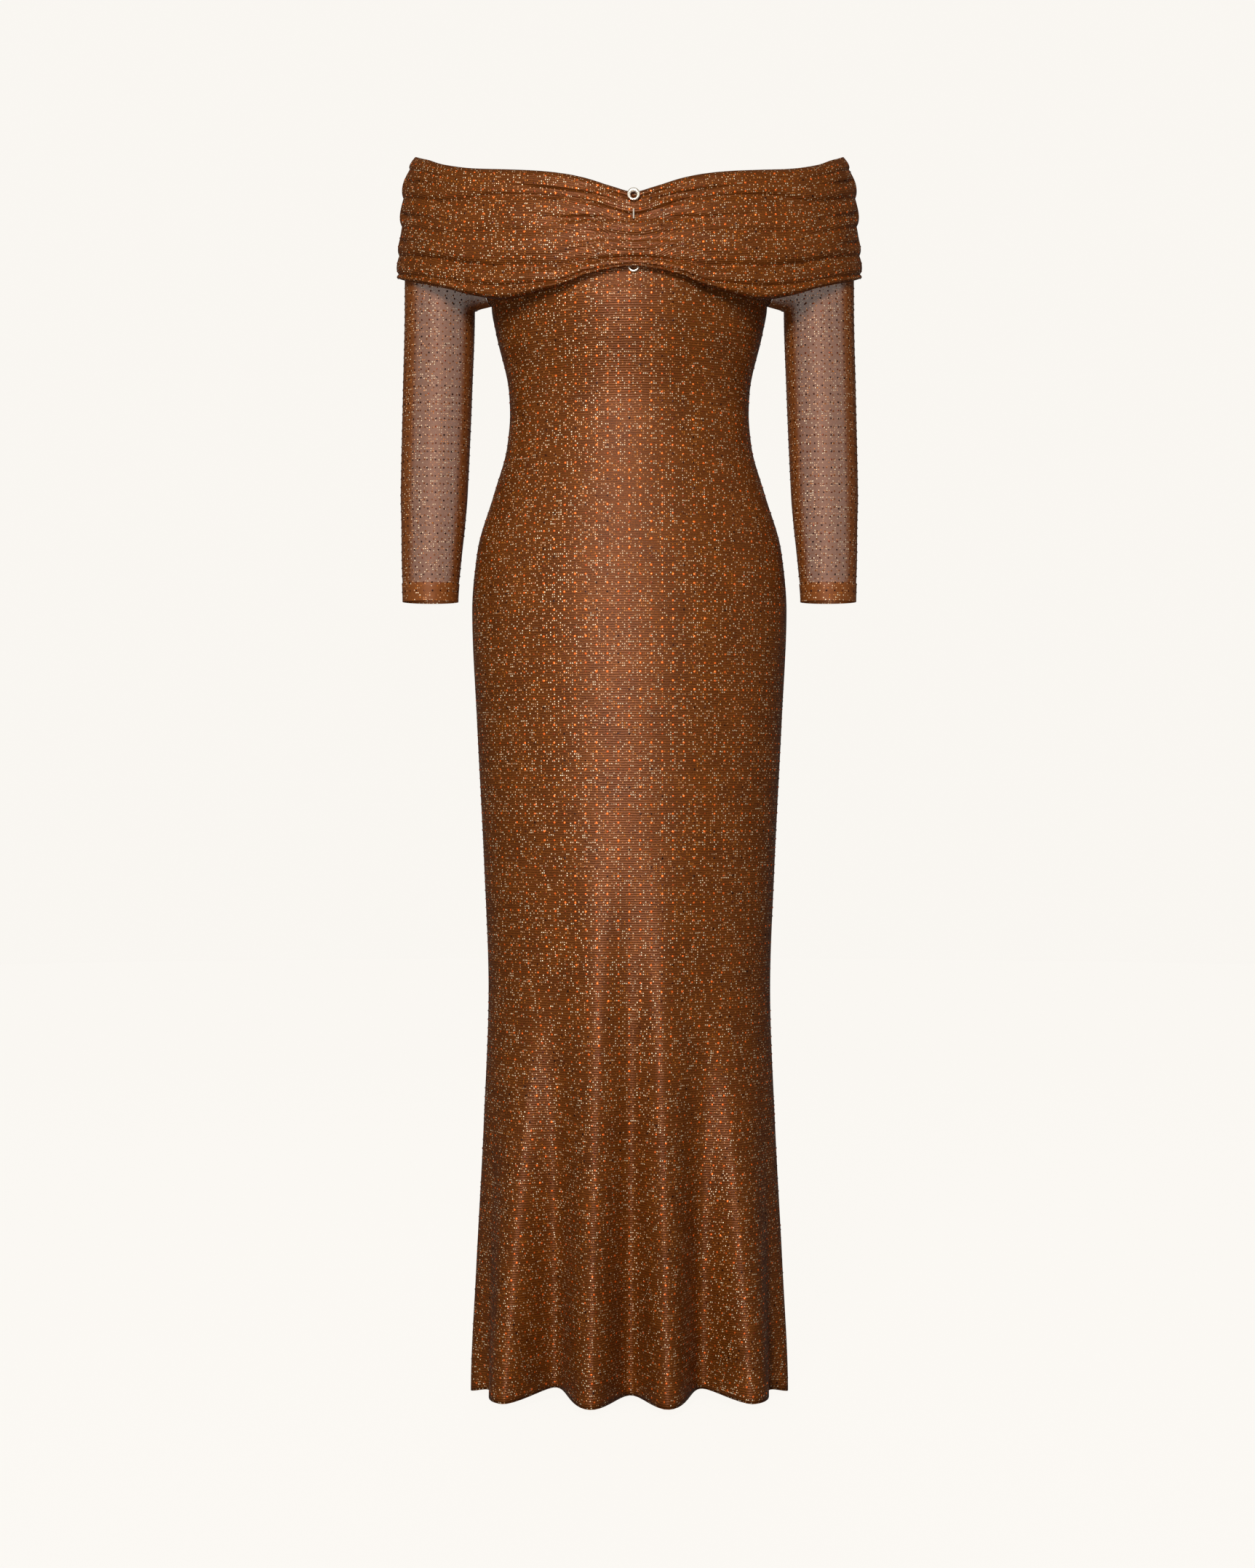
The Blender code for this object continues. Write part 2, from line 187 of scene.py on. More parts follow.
# The band's creases, by degrees: how far down the band each runs and how deep it is.
Crease = namedtuple("Crease", "degrees down deep")
CREASES = {
    "fold_over": [
        Crease(0, 0, 0.0090),
        Crease(45, 0, 0.0085),
        Crease(90, 0, 0.0052),
        Crease(180, 0, 0.0060),
    ],
    "outer": [
        Crease(0, 0.09, 0.0030),
        Crease(15, 0.09, 0.0008),
        Crease(45, 0.08, 0.0010),
        Crease(60, 0.10, 0.0035),
        Crease(90, 0.10, 0.0022),
        Crease(180, 0.11, 0.0012),
    ],
    "upper": [
        Crease(0, 0.31, 0.0075),
        Crease(15, 0.22, 0.0050),
        Crease(33, 0.20, 0.0045),
        Crease(55, 0.30, 0.0055),
        Crease(90, 0.34, 0.0030),
        Crease(180, 0.30, 0.0042),
    ],
    "middle": [
        Crease(0, 0.60, 0.0052),
        Crease(15, 0.53, 0.0045),
        Crease(33, 0.48, 0.0042),
        Crease(55, 0.56, 0.0042),
        Crease(90, 0.57, 0.0030),
        Crease(180, 0.53, 0.0036),
    ],
    "lower": [
        Crease(0, 0.88, 0.0060),
        Crease(15, 0.84, 0.0080),
        Crease(33, 0.75, 0.0085),
        Crease(55, 0.775, 0.0060),
        Crease(90, 0.81, 0.0034),
        Crease(180, 0.77, 0.0042),
    ],
    "under_roll": [
        Crease(0, 0.96, 0.0042),
        Crease(15, 0.96, 0.0055),
        Crease(33, 0.90, 0.0050),
        Crease(55, 0.94, 0.0036),
        Crease(90, 0.96, 0.0028),
        Crease(180, 0.95, 0.0028),
    ],
    "lower_edge": [
        Crease(0, 1, 0.0050),
        Crease(33, 1, 0.0110),
        Crease(60, 1, 0.0050),
        Crease(90, 1, 0.0038),
        Crease(120, 1, 0.0030),
        Crease(180, 1, 0.0050),
    ],
}

# The skirt's soft folds: place round the ring, reach out or in at the hem, start and lift of the hem.
Fold = namedtuple("Fold", "degrees reach start lift")
FOLDS = [
    Fold(-157, -0.026, -0.86, 0.008),
    Fold(-135, 0.026, -0.82, 0.003),
    Fold(-112, -0.012, -0.95, 0.004),
    Fold(-92, 0.001, -0.98, 0.000),
    Fold(-70, -0.012, -0.96, 0.005),
    Fold(-45, 0.031, -0.84, 0.004),
    Fold(-31, -0.034, -0.78, 0.011),
    Fold(-12.5, 0.034, -0.62, 0.004),
    Fold(0.5, -0.028, -0.72, 0.006),
    Fold(12.5, 0.033, -0.66, 0.004),
    Fold(30, -0.033, -0.80, 0.010),
    Fold(44, 0.030, -0.82, 0.004),
    Fold(70, -0.012, -0.98, 0.005),
    Fold(91, 0.001, -0.96, 0.000),
    Fold(113, -0.014, -0.92, 0.004),
    Fold(137, 0.028, -0.80, 0.003),
    Fold(159, -0.028, -0.84, 0.008),
    Fold(181, 0.022, -0.78, 0.003),
]

SleeveRing = namedtuple("SleeveRing", "height centre_x centre_y half_width depth")
SLEEVE = [
    SleeveRing(-0.4160, 0.2145, -0.009, 0.0295, 0.0305),
    SleeveRing(-0.3780, 0.2137, -0.007, 0.0318, 0.0330),
    SleeveRing(-0.3305, 0.2117, -0.004, 0.0346, 0.0360),
    SleeveRing(-0.3000, 0.2109, -0.002, 0.0362, 0.0375),
    SleeveRing(-0.1900, 0.2075, 0.001, 0.0375, 0.0390),
    SleeveRing(-0.0960, 0.2050, 0.001, 0.0380, 0.0400),
]

# Fine pleats of the band: pleats in the whole width, their depth at the gather and where they fade.
Pleats = namedtuple("Pleats", "count depth fade_degrees lean")
PLEATS = [Pleats(13, 0.0009, 22, 0.020), Pleats(7, 0.0012, 44, -0.012), Pleats(4, 0.0009, 75, 0.006)]

# Tucks of the band's front, listed one by one: from the gather outwards, or from an arm inwards. Degrees
# run to the wearer's left, down runs from neckline to lower edge, and sag bows the tuck downwards.
Tuck = namedtuple("Tuck", "from_degrees from_down to_degrees to_down sag width depth")
TUCKS = [
    Tuck(-1, 0.16, -38, 0.10, 0.03, 0.030, 0.0032),
    Tuck(2, 0.15, 34, 0.11, 0.03, 0.030, 0.0030),
    Tuck(-1, 0.38, -30, 0.34, 0.05, 0.030, 0.0040),
    Tuck(2, 0.37, 36, 0.33, 0.05, 0.032, 0.0038),
    Tuck(-2, 0.46, -22, 0.42, -0.03, 0.024, 0.0028),
    Tuck(3, 0.47, 26, 0.41, -0.03, 0.026, 0.0026),
    Tuck(-1, 0.72, -46, 0.66, 0.02, 0.030, 0.0036),
    Tuck(2, 0.73, 42, 0.65, 0.02, 0.030, 0.0038),
    Tuck(-86, 0.20, -44, 0.14, 0.02, 0.026, 0.0026),
    Tuck(86, 0.19, 48, 0.15, 0.02, 0.026, 0.0028),
    Tuck(-88, 0.47, -40, 0.40, 0.03, 0.028, 0.0030),
    Tuck(88, 0.46, 46, 0.42, 0.02, 0.028, 0.0028),
    Tuck(-87, 0.69, -56, 0.65, 0.01, 0.024, 0.0024),
    Tuck(87, 0.70, 52, 0.66, 0.01, 0.024, 0.0026),
    Tuck(178, 0.42, 118, 0.44, 0.02, 0.030, 0.0022),
    Tuck(-176, 0.66, -112, 0.63, 0.01, 0.028, 0.0022),
]


def linear(code):
    """An sRGB hex colour as linear red, green and blue."""
    parts = [int(code[at : at + 2], 16) / 255 for at in (0, 2, 4)]
    return tuple(part / 12.92 if part <= 0.04045 else ((part + 0.055) / 1.055) ** 2.4 for part in parts)


def read(table, column, at):
    """One column of a table at places along its first column, on a smooth curve with no overshoot."""
    places = np.array([row[0] for row in table], float)
    values = np.array([getattr(row, column) for row in table], float)
    at = np.clip(np.asarray(at, float), places[0], places[-1])
    widths = np.diff(places)
    rises = np.diff(values) / widths
    slopes = np.zeros(len(places))
    same_way = rises[:-1] * rises[1:] > 0
    total = np.where(same_way, rises[:-1] + rises[1:], 1.0)
    slopes[1:-1] = np.where(same_way, 2 * rises[:-1] * rises[1:] / total, 0.0)
    low = np.clip(np.searchsorted(places, at, side="right") - 1, 0, len(widths) - 1)
    t = (at - places[low]) / widths[low]
    return (
        values[low] * (1 + 2 * t) * (1 - t) ** 2
        + values[low + 1] * t * t * (3 - 2 * t)
        + slopes[low] * widths[low] * t * (1 - t) ** 2
        - slopes[low + 1] * widths[low] * t * t * (1 - t)
    )


def points(x, y, z):
    """Points from their coordinates, which may be of any shapes that fit one another."""
    return np.stack(np.broadcast_arrays(x, y, z), -1).astype(float)


def unit(vectors):
    """The same directions, one long."""
    return vectors / np.maximum(np.linalg.norm(vectors, axis=-1, keepdims=True), 1e-12)


def wrapped(turn):
    """The same turn between -pi and pi."""
    return (turn + np.pi) % (2 * np.pi) - np.pi


def ring_point(table, turn, height, rounding=1.0):
    """Points of a ring, by the turn from centre front towards the wearer's left."""
    ahead = np.cos(turn)
    depth = np.where(ahead > 0, read(table, "front", height), read(table, "back", height))
    y = -np.sign(ahead) * depth * np.abs(ahead) ** rounding
    return points(read(table, "half_width", height) * np.sin(turn), y, height)


def edge_height(column, turn):
    """Height of the neckline or of the band's lower edge."""
    return read(EDGES, column, np.degrees(np.abs(turn - GATHER_TURN * np.cos(turn))))


def fold_value(turn, value_of):
    """A value of the skirt's folds at a turn, passing softly from each fold to the next."""
    places = np.array([fold.degrees for fold in FOLDS] + [FOLDS[0].degrees + 360.0])
    degrees = np.degrees(wrapped(turn))
    degrees = np.where(degrees < places[0], degrees + 360, degrees)
    low = np.clip(np.searchsorted(places, degrees, side="right") - 1, 0, len(FOLDS) - 1)
    share = (degrees - places[low]) / (places[low + 1] - places[low])
    ease = (1 - np.cos(np.pi * share)) / 2
    return value_of(low) * (1 - ease) + value_of((low + 1) % len(FOLDS)) * ease


def body_point(turn, height):
    """Points of the body below the underarm, with the skirt's folds and the lift that they give the hem."""
    starts = np.array([fold.start for fold in FOLDS])
    reaches = np.array([fold.reach for fold in FOLDS])
    lifts = np.array([fold.lift for fold in FOLDS])
    depth = np.where(np.cos(turn) > 0, read(BODY, "front", height), read(BODY, "back", height))
    half_width = read(BODY, "half_width", height)
    outwards = unit(points(np.sin(turn) / half_width, -np.cos(turn) / depth, np.zeros_like(depth)))

    def reach(fold):
        grown = np.maximum(starts[fold] - height, 0) / (starts[fold] - HEM)
        return reaches[fold] * grown**FOLD_GROWTH

    found = ring_point(BODY, turn, height) + outwards * fold_value(turn, reach)[..., None]
    lift = fold_value(turn, lambda fold: lifts[fold])
    found[..., 2] += lift * np.clip(1 - (height - HEM) / HEM_RISE, 0, 1)
    return found


def panel_point(side, share, rise):
    """Points of a body panel above the underarm: side 0 is the front and pi the back, share -1 to 1."""
    ring_turn = side + share * (ARMHOLE_TURN - SEAM_GAP)
    bottom = ring_point(BODY, side + share * (np.pi / 2 - seam_turn(SEAM_GAP)), UNDERARM)
    height = UNDERARM + (edge_height("top", wrapped(ring_turn)) - BAND_SEAT - UNDERARM) * rise
    top = ring_point(SHOULDER, ring_turn, height, RING_ROUNDING)
    bottom = points(bottom[..., 0], bottom[..., 1], height)
    return bottom + (top - bottom) * opening(rise)[..., None]


def sleeve_point(share, rise):
    """Points of the wearer's left sleeve above the underarm, share 0 to 1 from front seam to back seam."""
    start = ARMHOLE_TURN + SEAM_GAP
    ring_turn = start + (np.pi - 2 * start) * share
    ring = sleeve_ring(share, UNDERARM)
    pull = np.maximum(1 - np.minimum(share, 1 - share) / WEB_SHARE, 0)[..., None] ** 2
    underarm = np.array([read(BODY, "half_width", UNDERARM) + SEAM_GAP, 0, UNDERARM])
    ring = ring * (1 - pull) + underarm * pull
    height = UNDERARM + (edge_height("top", ring_turn) - BAND_SEAT - UNDERARM) * rise
    top = ring_point(SHOULDER, ring_turn, height, RING_ROUNDING)
    ring = points(ring[..., 0], ring[..., 1], height)
    return ring + (top - ring) * opening(rise)[..., None]


def opening(rise):
    """How far a ring above the underarm has opened into the ring round bust and arms."""
    return rise**OPENING_GROWTH


def seam_turn(gap, rounding=1.0):
    """How far a panel stops short of the side line, so that half a seam's gap is left."""
    return (gap / 2 / MEAN_DEPTH) ** (1 / rounding)


def sleeve_ring(share, height, step=0.0):
    """Points of the sleeve's closed ring, share 0 at its inner line and 0.25 at the front."""
    angle = 2 * np.pi * share
    x = read(SLEEVE, "centre_x", height) - (read(SLEEVE, "half_width", height) + step) * np.cos(angle)
    y = read(SLEEVE, "centre_y", height) - (read(SLEEVE, "depth", height) + step) * np.sin(angle)
    return points(x, y, height)


def band_point(turn, crease, after, puff):
    """Points of the band between two creases: puff 0 is in the upper one and 1 in the lower one."""
    degrees = np.degrees(np.abs(wrapped(turn - GATHER_TURN * np.maximum(np.cos(turn), 0))))
    down = [read(CREASES[name], "down", degrees) for name in (crease, after)]
    deep = [read(CREASES[name], "deep", degrees) for name in (crease, after)]
    top, bottom = edge_height("top", wrapped(turn)), edge_height("bottom", wrapped(turn))
    share = down[0] + (down[1] - down[0]) * puff
    main = deep[0] * (1 - puff) ** CREASE_FALL + deep[1] * puff**CREASE_ROLL
    used = deep[0] * (1 - puff) + deep[1] * puff
    fine = pleat_depth(degrees, share) + tuck_depth(np.degrees(wrapped(turn)), share, used)
    inwards = main + np.minimum(fine, np.maximum(BAND_ROOM - main, 0))
    found = ring_point(BAND, turn, top + (bottom - top) * share, RING_ROUNDING)
    outwards = unit(found * [1 / BAND_HALF_WIDTH**2, 1 / MEAN_DEPTH**2, 0])
    return found - outwards * inwards[..., None]


def pleat_depth(degrees, share):
    """Depth of the fine pleats that fan out of the gather, none at the band's two edges."""
    depth = 0
    for pleats in PLEATS:
        wander = pleats.lean * np.sin(degrees * PLEAT_WANDER + pleats.count)
        phase = 2 * np.pi * pleats.count * (share + wander)
        fade = np.exp(-((degrees / pleats.fade_degrees) ** 2))
        depth = depth + pleats.depth * fade * (1 - np.cos(phase)) / 2
    return depth * np.clip(share * (1 - share) * PLEAT_EDGE_FADE, 0, 1)


def tuck_depth(degrees, share, used):
    """Depth of the listed tucks, less where a main crease already uses the room behind the band."""
    depth = 0
    for tuck in TUCKS:
        span = tuck.to_degrees - tuck.from_degrees
        along = (degrees - tuck.from_degrees) / span
        middle = tuck.from_down + (tuck.to_down - tuck.from_down) * along
        off = share - middle - tuck.sag * np.sin(np.pi * np.clip(along, 0, 1))
        # The upper side of a tuck is steep and the lower side is soft.
        width = tuck.width * np.where(off < 0, TUCK_STEEP, TUCK_SOFT)
        ends = np.clip(along * TUCK_START, 0, 1) * np.clip((1 - along) * TUCK_END, 0, 1)
        ends = np.where((along > 0) & (along < 1), ends, 0)
        depth = depth + tuck.depth * np.exp(-((off / width) ** 2)) * ends
    room = np.clip(1 - used / TUCK_ROOM, TUCK_LEAST_ROOM, 1)
    return TUCK_STRENGTH * depth * room * np.clip(share * (1 - share) * TUCK_EDGE_FADE, 0, 1)


def chart(grid, level):
    """Distances across from the middle column and down from the top row. Level rows share one distance."""
    steps = np.linalg.norm(np.diff(grid, axis=1), axis=-1)
    across = np.concatenate([np.zeros((len(grid), 1)), np.cumsum(steps, axis=1)], axis=1)
    across -= across[:, [grid.shape[1] // 2]]
    falls = np.linalg.norm(np.diff(grid, axis=0), axis=-1)
    if level:
        falls = np.broadcast_to(falls.mean(axis=1, keepdims=True), falls.shape)
    down = np.concatenate([np.cumsum(falls[::-1], axis=0)[::-1], np.zeros((1, grid.shape[1]))], axis=0)
    return across, down


def outward_normals(grid):
    """Normals of a grid whose rows run up and whose columns run to the wearer's left at the front."""
    return unit(np.cross(np.gradient(grid, axis=1), np.gradient(grid, axis=0)))


def mesh_object(name, vertices, faces, material):
    """A piece of the dress: a smooth mesh with its finish, riding on the dress."""
    data = bpy.data.meshes.new(name)
    data.from_pydata(vertices.tolist(), [], faces.tolist())
    data.shade_smooth()
    data.materials.append(material)
    piece = bpy.data.objects.new(name, data)
    bpy.context.scene.collection.objects.link(piece)
    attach(piece, "root")
    return piece


def point_values(piece, name, values, kind="FLOAT"):
    """Values kept on a piece's vertices, for its finish to read."""
    attribute = piece.data.attributes.new(name, kind, "POINT")
    key = "value" if kind == "FLOAT" else "vector"
    attribute.data.foreach_set(key, np.ascontiguousarray(values, np.float32).ravel())


def cloth_piece(name, grid, level, material, wall=None, layers=None):
    """A panel of cloth on a grid of points, charted in its own plane and thickened inwards."""
    rows, columns = grid.shape[:2]
    index = np.arange(rows * columns).reshape(rows, columns)
    faces = np.stack([index[:-1, :-1], index[:-1, 1:], index[1:, 1:], index[1:, :-1]], -1).reshape(-1, 4)
    piece = mesh_object(name, grid.reshape(-1, 3), faces, material)
    across, down = chart(grid, level)
    point_values(piece, "cloth", points(across, down, 0.0 * down), "FLOAT_VECTOR")
    point_values(piece, "layers", np.zeros((rows, columns)) if layers is None else layers)
    if wall:
        thick = piece.modifiers.new("Wall", "SOLIDIFY")
        thick.thickness = wall
        thick.offset = -1
        thick.use_even_offset = True
        thick.use_quality_normals = True
    return piece


def dot_places(grid, level, pitch_across, pitch_down, lowest=-np.inf, highest=np.inf):
    """Where the cloth's printed dots lie on a panel: points and normals, row after row."""
    normals = outward_normals(grid)
    down = chart(grid, level)[1]
    rows, columns = grid.shape[:2]
    places, directions = [], []
    for row in range(1, int(down.max() / pitch_down) + 1):
        wanted = row * pitch_down
        at = np.array([np.interp(-wanted, -down[:, c], np.arange(rows)) for c in range(columns)])
        low = np.clip(at.astype(int), 0, rows - 2)
        part = (at - low)[:, None]
        column = np.arange(columns)
        line = grid[low, column] * (1 - part) + grid[low + 1, column] * part
        facing = normals[low, column] * (1 - part) + normals[low + 1, column] * part
        inside = down.max(axis=0) > wanted
        arc = np.concatenate([[0], np.cumsum(np.linalg.norm(np.diff(line, axis=0), axis=-1))])
        arc -= arc[columns // 2]
        first, last = math.ceil(arc[0] / pitch_across), math.floor(arc[-1] / pitch_across)
        stops = np.arange(first, last + 1) * pitch_across
        stops = stops[(stops > arc[0] + DOT_MARGIN) & (stops < arc[-1] - DOT_MARGIN)]
        found = np.stack([np.interp(stops, arc, line[:, axis]) for axis in range(3)], -1)
        turned = np.stack([np.interp(stops, arc, facing[:, axis]) for axis in range(3)], -1)
        kept = (np.interp(stops, arc, inside.astype(float)) > 0.99) & (found[:, 2] > lowest)
        kept &= found[:, 2] < highest
        places.append(found[kept])
        directions.append(turned[kept])
    return np.concatenate(places), unit(np.concatenate(directions))


def dot_piece(name, places, normals, radius, seed, material, brightest=1.0):
    """One mesh of small six-sided domed foil dots, each tilted a little its own way."""
    chance = np.random.default_rng(seed)
    count = len(places)
    tilt = chance.normal(0, DOT_TILT, (count, 3))
    facing = unit(normals + np.cross(normals, tilt))
    side = unit(np.cross(facing, [0.0, 0.0, 1.0]) + [1e-6, 0, 0])
    other = np.cross(facing, side)
    size = radius * chance.uniform(0.85, 1.12, (count, 1))
    angles = np.arange(6) * np.pi / 3
    rim = [places + facing * DOT_RIM + size * (np.cos(a) * side + np.sin(a) * other) for a in angles]
    vertices = np.stack([places + facing * (DOT_CROWN + size * DOT_DOME), *rim], 1)
    corner = np.arange(6)
    fan = np.stack([np.zeros(6, int), corner + 1, (corner + 1) % 6 + 1], -1)
    faces = (np.arange(count)[:, None, None] * 7 + fan[None]).reshape(-1, 3)
    piece = mesh_object(name, vertices.reshape(-1, 3), faces, material)
    # Each dot gets a random painted glint in its glow value, and its crown vertex the painted highlight
    # core.
    glow = np.repeat(chance.uniform(0, brightest, count), 7)
    point_values(piece, "glow", glow)
    point_values(piece, "painted_highlight_core", np.tile([1.0, 0, 0, 0, 0, 0, 0], count))
    return piece


def add_node(tree, kind, inputs=(), **settings):
    """Adds a shader node: settings by name, and inputs that are each a value or another node's socket."""
    made = tree.nodes.new("ShaderNode" + kind)
    for name, value in settings.items():
        setattr(made, name, value)
    for name, value in dict(inputs).items():
        if isinstance(value, bpy.types.NodeSocket):
            tree.links.new(value, made.inputs[name])
        else:
            made.inputs[name].default_value = value
    return made


def new_finish(name):
    """A material with an empty Principled shader, its node tree and that shader."""
    material = bpy.data.materials.new(name)
    material.use_nodes = True
    return material, material.node_tree, material.node_tree.nodes["Principled BSDF"]


def glitter_flakes(tree, cloth, dress):
    """Loose glitter caught in the courses: how much of a flake is at a point, its colour and its lean. Only
    the flakes taken to catch the light are drawn, in a cream or orange painted glint.
    """
    pitch = (dress.flake_spacing, dress.course_spacing, 1.0)
    scaled = add_node(tree, "VectorMath", {0: cloth, 1: pitch}, operation="DIVIDE")
    cell = add_node(tree, "VectorMath", {0: scaled.outputs[0]}, operation="FLOOR")
    inner = add_node(tree, "VectorMath", {0: scaled.outputs[0], 1: cell.outputs[0]}, operation="SUBTRACT")
    chance = add_node(tree, "TexWhiteNoise", {"Vector": cell.outputs[0]}, noise_dimensions="2D")
    lean = add_node(
        tree, "VectorMath", {0: chance.outputs["Color"], 1: (0.5, 0.5, 0.5)}, operation="SUBTRACT"
    )
    # A flake may lie anywhere along its course, and only a little above or below it.
    middle = add_node(
        tree,
        "VectorMath",
        {0: lean.outputs[0], 1: (0.66, 0.20, 0.0), 2: (0.5, 0.5, 0.0)},
        operation="MULTIPLY_ADD",
    )
    away = add_node(tree, "VectorMath", {0: inner.outputs[0], 1: middle.outputs[0]}, operation="SUBTRACT")
    real = add_node(tree, "VectorMath", {0: away.outputs[0], 1: (*pitch[:2], 0.0)}, operation="MULTIPLY")
    distance = add_node(tree, "VectorMath", {0: real.outputs[0]}, operation="LENGTH")
    covered = add_node(
        tree,
        "MapRange",
        {
            "Value": distance.outputs["Value"],
            "From Min": dress.flake_radius * 1.2,
            "From Max": dress.flake_radius * 0.75,
        },
    )
    parts = add_node(tree, "SeparateColor", {0: chance.outputs["Color"]})
    # Only a share of the flakes gets the painted glint; the rest are left out.
    painted_glint = add_node(
        tree,
        "MapRange",
        {"Value": chance.outputs["Value"], "From Min": 1 - dress.flake_painted_glint_share, "From Max": 1.0},
    )
    curve = add_node(tree, "Math", {0: painted_glint.outputs[0], 1: 0.4}, operation="POWER")
    flake = add_node(tree, "Math", {0: covered.outputs[0], 1: curve.outputs[0]}, operation="MULTIPLY")
    warm = add_node(
        tree, "MapRange", {"Value": parts.outputs["Blue"], "From Min": 0.10, "From Max": 0.85}
    )
    colour = add_node(
        tree,
        "Mix",
        {"Factor": warm.outputs[0], 6: (*dress.flake_painted_glint_orange, 1), 7: (*dress.painted_glint_cream, 1)},
        data_type="RGBA",
    )
    tipped = add_node(
        tree, "VectorMath", {0: lean.outputs[0], "Scale": flake.outputs[0]}, operation="SCALE"
    )
    return flake.outputs[0], colour.outputs[2], tipped.outputs[0]


def leaning_normal(tree, tipped, bump):
    """The bumped normal, turned at each flake by the flake's own lean."""
    leaning = add_node(
        tree, "VectorMath", {0: tipped, 1: (0.9, 0.9, 0.9), 2: bump}, operation="MULTIPLY_ADD"
    )
    return add_node(tree, "VectorMath", {0: leaning.outputs[0]}, operation="NORMALIZE").outputs[0]


def glitter_knit(dress):
    """Polyester knit with metallic yarn and loose glitter: a deep rust ground that glints all over, partly
    from the shader and partly from flakes painted in as painted glints.
    """
    material, tree, shader = new_finish("glitter_knit_metallic_yarn")
    cloth = add_node(tree, "Attribute", attribute_name="cloth").outputs["Vector"]
    split = add_node(tree, "SeparateXYZ", {0: cloth})

    # Glitter flakes are 0.2 to 0.4 mm; they are drawn 1.2 mm wide so that they show. Their cream and orange
    # is a painted glint, and their lean adds real glints.
    flake, flake_painted_glint_colour, tipped = glitter_flakes(tree, cloth, dress)

    # The metallic yarn's courses wander a little and leave dark lines between them.
    wander = add_node(tree, "TexNoise", {"Vector": cloth, "Scale": 60.0, "Detail": 2.0})
    drift = add_node(
        tree,
        "Math",
        {0: wander.outputs["Fac"], 1: 0.0012, 2: split.outputs["Y"]},
        operation="MULTIPLY_ADD",
    )
    turns = 2 * math.pi / dress.course_spacing
    phase = add_node(tree, "Math", {0: drift.outputs[0], 1: turns}, operation="MULTIPLY")
    course = add_node(tree, "Math", {0: phase.outputs[0]}, operation="SINE")
    course_share = add_node(
        tree, "MapRange", {"Value": course.outputs[0], "From Min": -1.0, "From Max": 1.0}
    )

    # Slow shade changes from the dye and the way the yarn lies, and a fine grain of single loops.
    mottle = add_node(tree, "TexNoise", {"Vector": cloth, "Scale": 30.0, "Detail": 4.0, "Roughness": 0.6})
    grain = add_node(tree, "TexNoise", {"Vector": cloth, "Scale": 700.0, "Detail": 2.0})
    ground = add_node(
        tree,
        "Mix",
        {"Factor": mottle.outputs["Fac"], 6: (*dress.ground_dark, 1), 7: (*dress.ground_light, 1)},
        data_type="RGBA",
    )
    lined = add_node(
        tree,
        "Mix",
        {"Factor": course_share.outputs[0], 6: (0.70, 0.64, 0.58, 1), 7: (1.0, 1.0, 1.0, 1)},
        data_type="RGBA",
    )
    knitted = add_node(
        tree,
        "Mix",
        {"Factor": 1.0, 6: ground.outputs[2], 7: lined.outputs[2]},
        data_type="RGBA",
        blend_type="MULTIPLY",
    )
    speckle = add_node(
        tree,
        "MapRange",
        {"Value": grain.outputs["Fac"], "From Min": 0.3, "From Max": 0.7, "To Min": 0.55, "To Max": 1.45},
    )
    grained = add_node(
        tree, "VectorMath", {0: knitted.outputs[2], "Scale": speckle.outputs[0]}, operation="SCALE"
    )
    colour = add_node(
        tree,
        "Mix",
        {"Factor": flake, 6: grained.outputs[0], 7: flake_painted_glint_colour},
        data_type="RGBA",
    )
    relief = add_node(
        tree,
        "Math",
        {0: grain.outputs["Fac"], 1: 0.6, 2: course.outputs[0]},
        operation="MULTIPLY_ADD",
    )
    bump = add_node(tree, "Bump", {"Strength": 0.4, "Distance": 0.0004, "Height": relief.outputs[0]})
    metal = add_node(tree, "MapRange", {"Value": flake, "To Min": 0.26, "To Max": 0.10})
    rough = add_node(tree, "MapRange", {"Value": flake, "To Min": 0.46, "To Max": 0.32})
    tree.links.new(colour.outputs[2], shader.inputs["Base Color"])
    tree.links.new(metal.outputs[0], shader.inputs["Metallic"])
    tree.links.new(rough.outputs[0], shader.inputs["Roughness"])
    tree.links.new(leaning_normal(tree, tipped, bump.outputs[0]), shader.inputs["Normal"])
    shader.inputs["IOR"].default_value = 1.5
    shader.inputs["Specular IOR Level"].default_value = 0.2
    return material


